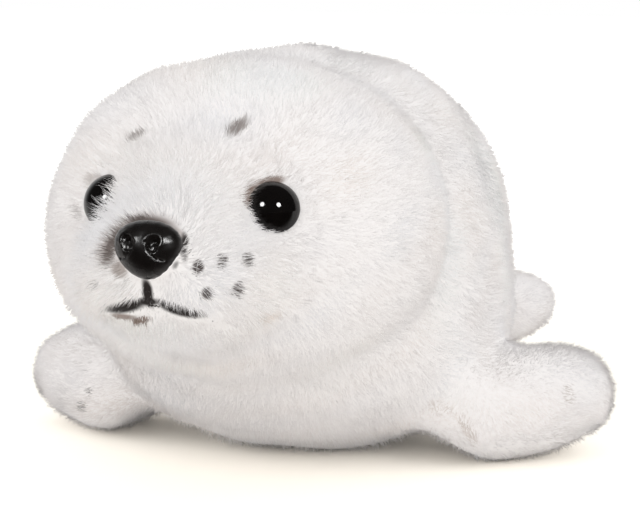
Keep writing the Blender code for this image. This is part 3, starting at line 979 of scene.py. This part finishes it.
class SEAL_OT_body_pile(bpy.types.Operator):
    """Grows the pile of the body, its front half and its rear half"""

    bl_idname = "seal.body_pile"
    bl_label = "Body pile"

    def execute(self, context):
        settings = context.scene.seal_pile
        material = plush_pile("plush_pile_body", ARMPIT_FOLD_SHADE, BODY_MIDDLE)
        split = 0.028

        def lays(roots, ups):
            return comb(roots, ups, np.tile([0, 0.8, -0.6], (len(roots), 1)), 0.55, 0.045, 33)

        def half(sign):
            def wanted(middles, ups, parts):
                under = np.where((ups[:, 2] < -0.5) & (middles[:, 2] < 0.012), 0.25, 1.0)
                return np.where((parts == 1) & ((middles[:, 1] - split) * sign > 0), under, 0.0)
            return wanted

        look = pile_look(settings, settings.body_length)
        for name, sign, seed in (("body_pile_front", -1, 103), ("body_pile_rear", 1, 104)):
            plant(name, settings.body_fibres, lays, half(sign), look, seed, material, settings, BODY_MIDDLE)
        return {"FINISHED"}


class SEAL_OT_flipper_pile(bpy.types.Operator):
    """Grows the pile of the four flippers"""

    bl_idname = "seal.flipper_pile"
    bl_label = "Flipper pile"

    def execute(self, context):
        settings = context.scene.seal_pile
        material = plush_pile("plush_pile_flippers", FLIPPER_DIMPLE_SHADE + ARMPIT_FOLD_SHADE, BODY_MIDDLE)

        def on(part):
            def wanted(middles, ups, parts):
                under = np.where((ups[:, 2] < -0.6) & (middles[:, 2] < 0.01), 0.3, 1.0)
                return np.where(parts == part, under, 0.0)
            return wanted

        def outwards(roots, ups):
            ways = roots - np.array(BODY_MIDDLE) * np.array([1, 1, 0])
            ways[:, 2] = -0.012
            return comb(roots, ups, ways, 0.35, 0.03, 34)

        look = pile_look(settings, settings.flipper_length)
        for at, side in enumerate(("left", "right")):
            for kind, count in (("front", settings.front_fibres), ("hind", settings.hind_fibres)):
                name = f"{kind}_flipper_{side}"
                low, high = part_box(name)
                plant(f"{name}_pile", count, outwards, on(SOFT_NODES.index(name)), look,
                      110 + at * 10 + len(kind), material, settings, (low + high) / 2)
        return {"FINISHED"}


class SEAL_OT_eyes(bpy.types.Operator):
    """Turns the two polished safety eyes"""

    bl_idname = "seal.eyes"
    bl_label = "Eyes"

    def execute(self, context):
        material = safety_eye_plastic()
        for side, (top, axis, radius, depth) in EYES.items():
            bow = (radius**2 + DOME**2) / (2 * DOME)
            span = math.asin(min(1.0, radius * 0.985 / bow))
            turns = [span * i / 20 for i in range(21)]
            outline = [(bow * math.sin(turn), bow * math.cos(turn) - bow) for turn in turns]
            edge = outline[-1][1]
            stem = 2.25 * MM
            outline += [
                (radius, edge - 0.25 * MM), (radius, edge - 0.8 * MM), (radius * 0.97, edge - 1.0 * MM),
                (stem, edge - 1.0 * MM), (stem, -depth + 0.4 * MM), (stem * 0.8, -depth), (0, -depth),
            ]
            piece = spun(f"safety_eye_{side}", outline, top, axis, 72)
            finish_piece(piece, material, "eye_plastic", f"eye_{side}")
        return {"FINISHED"}


class SEAL_OT_nose(bpy.types.Operator):
    """Moulds the safety nose with its nostrils and folds"""

    bl_idname = "seal.nose"
    bl_label = "Nose"

    def execute(self, context):
        settings = context.scene.seal_face
        piece = remeshed("safety_nose", merged_nodes("nose"), 0.45 * MM, 4)
        points, _ = points_of(piece.data)
        flat = points[:, [0, 2]] / MM - np.array([NOSE_MIDDLE.x / MM, NOSE_MIDDLE.z / MM])
        front = ease((NOSE_LOW.y + 9 * MM - points[:, 1]) / (4 * MM))
        sunk = np.zeros(len(points))
        for side in (-1, 1):
            away = np.hypot((flat[:, 0] - side * 4.9) / 2.1, (flat[:, 1] - 4.0) / 1.75)
            sunk += settings.nostril_depth * (1 - ease((away - 0.3) / 0.9))
            sunk -= 0.25 * MM * np.exp(-(((away - 1.45) / 0.35) ** 2))
            fold = [(side * 2.2, 3.7), (side * 3.1, 0.7), (side * 5.4, -1.8), (side * 7.9, -2.7)]
            sunk += 0.8 * MM * np.exp(-((line_distance(flat, fold) / 0.5) ** 2))
        points[:, 1] += sunk * front
        set_points(piece.data, points)
        finish_piece(piece, safety_nose_plastic(), "nose_plastic", "nose")
        return {"FINISHED"}


# One ply's radius and its distance from the thread's middle, as shares of the width, and the twist's pitch.
PLY_RADIUS, PLY_OFFSET = 0.29, 0.24
PLY_PITCH = 2.6 * MM


class SEAL_OT_mouth(bpy.types.Operator):
    """Stitches the mouth in two-ply thread"""

    bl_idname = "seal.mouth"
    bl_label = "Mouth"

    def execute(self, context):
        settings = context.scene.seal_face
        material = mouth_thread()
        face = tree_of(merged_mesh("head"))
        lip_low, lip_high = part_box("mouth_lip_thread")
        stem_low, stem_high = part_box("mouth_nose_thread")
        inset = 0.8 * MM
        middle = lip_high.z - inset

        def on_face(x, z):
            spot = face.ray_cast(Vector((x, -0.25, z)), Vector((0, 1, 0)))[0]
            return Vector(spot) + Vector((0, -0.2 * MM, 0))

        half = lip_high.x - inset
        sag = lip_high.z - lip_low.z - 2 * inset
        lip = [on_face(half * t, middle - sag * t * t) for t in np.linspace(-1, 1, 61)]
        drop = [on_face(0, stem_low.z + (stem_high.z - stem_low.z) * t) for t in np.linspace(0, 1, 15)]
        for name, route, node in (("mouth_stitch_lip", lip, "mouth_lip_thread"),
                                  ("mouth_stitch_drop", drop, "mouth_nose_thread")):
            curve = bpy.data.curves.new(name, "CURVE")
            curve.dimensions = "3D"
            curve.bevel_depth = settings.thread_width * PLY_RADIUS
            curve.bevel_resolution = 2
            curve.use_fill_caps = True
            run = np.cumsum([0] + [(b - a).length for a, b in zip(route, route[1:])])
            for ply in (0, 1):
                line = curve.splines.new("POLY")
                line.points.add(len(route) - 1)
                for point, spot, along in zip(line.points, route, run):
                    turn = along / PLY_PITCH * math.tau + ply * math.pi
                    round_it = Vector((0, math.sin(turn), math.cos(turn)))
                    if node == "mouth_nose_thread":
                        round_it = Vector((math.cos(turn), math.sin(turn), 0))
                    point.co = (*(spot + round_it * settings.thread_width * PLY_OFFSET), 1)
            line_object = bpy.data.objects.new(name, curve)
            bpy.context.scene.collection.objects.link(line_object)
            seen = line_object.evaluated_get(bpy.context.evaluated_depsgraph_get())
            mesh = bpy.data.meshes.new_from_object(seen)
            bpy.data.objects.remove(line_object)
            mesh.shade_smooth()
            finish_piece(new_piece(name, mesh), material, "thread", node)
        return {"FINISHED"}


class SEAL_OT_washers(bpy.types.Operator):
    """Gives the hidden washers their plastic"""

    bl_idname = "seal.washers"
    bl_label = "Washers"

    def execute(self, context):
        material = washer_plastic()
        for name in ("eye_washer_left", "eye_washer_right", "nose_washer"):
            NODES[name].data.materials.clear()
            NODES[name].data.materials.append(material)
        return {"FINISHED"}


FOCAL_PIXELS, PHOTO_WIDTH = 2376, 640  # the photograph's focal length, as fitted, and its width


class SEAL_OT_stage(bpy.types.Operator):
    """Sets the floor, the lamps, the surroundings and the camera"""

    bl_idname = "seal.stage"
    bl_label = "Studio"

    def execute(self, context):
        settings = context.scene.seal_stage
        turn, rise, back = math.radians(21.5), math.radians(8.0), 0.891
        ahead = Vector((math.sin(turn), -math.cos(turn), 0.0))
        bm = bmesh.new()
        bmesh.ops.create_grid(bm, x_segments=8, y_segments=8, size=4.0)
        floor = piece_of("floor", bm)
        floor.data.materials.append(paper_floor(settings.paper_gain, ahead))

        camera = bpy.data.objects.new("camera", bpy.data.cameras.new("camera"))
        context.scene.collection.objects.link(camera)
        target = mm(11.0, -25.6, 75.0)
        camera.location = target + ahead * back + Vector((0, 0, back * math.tan(rise)))
        camera.rotation_euler = (target - camera.location).to_track_quat("-Z", "Y").to_euler()
        camera.data.sensor_width = 36.0
        camera.data.lens = FOCAL_PIXELS * camera.data.sensor_width / PHOTO_WIDTH
        camera.data.clip_start = 0.01
        context.scene.camera = camera

        # Two small lamps make the pair of highlights in each eye, and the screens light the pile and show in
        # nothing. A row: degrees to the seal's left and up, metres away, size, share of the power, kind.
        face = mm(0, -125, 105)
        for name, round_by, up_by, away, size, share, highlight in (
            ("catch_light_left", -14, 30, 1.25, 0.34, 8.0, True),
            ("catch_light_right", 56, 28, 1.25, 0.34, 8.0, True),
            ("screen_left", -20, 30, 1.25, 0.5, 0.3, False),
            ("screen_right", 62, 28, 1.25, 0.5, 0.45, False),
            ("screen_top", 40, 70, 1.3, 0.9, 0.15, False),
            ("screen_front", 10, 4, 1.5, 0.9, 0.8, False),
        ):
            lamp = bpy.data.lights.new(name, "AREA")
            lamp.shape = "DISK" if highlight else "SQUARE"
            lamp.size = size
            lamp.energy = settings.lamp_power * share
            light = bpy.data.objects.new(name, lamp)
            light.visible_glossy = highlight
            light.visible_diffuse = not highlight
            context.scene.collection.objects.link(light)
            side, height = math.radians(round_by), math.radians(up_by)
            level = math.cos(height)
            way = Vector((math.sin(side) * level, -math.cos(side) * level, math.sin(height)))
            light.location = face + way * away
            light.rotation_euler = (-way).to_track_quat("-Z", "Y").to_euler()

        world = bpy.data.worlds.new("white_surroundings")
        world.use_nodes = True
        tree = world.node_tree
        tree.nodes.clear()
        path = add_node(tree, "ShaderNodeLightPath")
        seen = add_node(tree, "ShaderNodeMath", {
            0: path.outputs["Is Camera Ray"], 1: path.outputs["Is Transmission Ray"],
        }, operation="MAXIMUM")
        plain = taken(tree, seen.outputs[0], 0.0, 1.0, settings.sky, 1.0)
        # What is polished shows a dark room in front of the face, and the white backdrop behind.
        front = add_node(tree, "ShaderNodeVectorMath", {
            0: add_node(tree, "ShaderNodeTexCoord").outputs["Generated"],
            1: (ahead + Vector((0, 0, 0.12))).normalized(),
        }, operation="DOT_PRODUCT")
        room = taken(tree, front.outputs["Value"], -0.9, -0.3, 1.0, 0.05, "SMOOTHSTEP")
        strength = add_node(tree, "ShaderNodeMix", {
            0: path.outputs["Is Glossy Ray"], 2: plain, 3: room,
        })
        sky = add_node(tree, "ShaderNodeBackground", {
            "Color": linear("#FFFFFF"), "Strength": strength.outputs[0],
        })
        add_node(tree, "ShaderNodeOutputWorld", {"Surface": sky.outputs[0]})
        context.scene.world = world
        context.scene.view_settings.view_transform = "Standard"
        return {"FINISHED"}


class SEAL_PT_panel(bpy.types.Panel):
    """The seal's settings and its pieces"""

    bl_idname = "SEAL_PT_panel"
    bl_label = "Plush Seal"
    bl_space_type = "VIEW_3D"
    bl_region_type = "UI"
    bl_category = "Plush Seal"

    def draw(self, context):
        for group in (context.scene.seal_pile, context.scene.seal_face, context.scene.seal_stage):
            box = self.layout.box()
            for name in group.bl_rna.properties.keys():
                if name not in ("rna_type", "name"):
                    box.prop(group, name)
        for operator in PIECES:
            self.layout.operator(operator.bl_idname)


PIECES = (
    SEAL_OT_stage,
    SEAL_OT_skin,
    SEAL_OT_face_pile,
    SEAL_OT_crown_pile,
    SEAL_OT_body_pile,
    SEAL_OT_flipper_pile,
    SEAL_OT_eyes,
    SEAL_OT_nose,
    SEAL_OT_mouth,
    SEAL_OT_washers,
)
SETTINGS = (
    ("seal_pile", SealPileSettings),
    ("seal_face", SealFaceSettings),
    ("seal_stage", SealStageSettings),
)


def register():
    for name, group in SETTINGS:
        bpy.utils.register_class(group)
        setattr(bpy.types.Scene, name, PointerProperty(type=group))
    for operator in PIECES:
        bpy.utils.register_class(operator)
    bpy.utils.register_class(SEAL_PT_panel)


def unregister():
    bpy.utils.unregister_class(SEAL_PT_panel)
    for operator in reversed(PIECES):
        bpy.utils.unregister_class(operator)
    for name, group in reversed(SETTINGS):
        delattr(bpy.types.Scene, name)
        bpy.utils.unregister_class(group)


def main():
    """Makes every piece in order."""
    register()
    for operator in PIECES:
        group, name = operator.bl_idname.split(".")
        getattr(getattr(bpy.ops, group), name)()


if __name__ == "__main__":
    main()
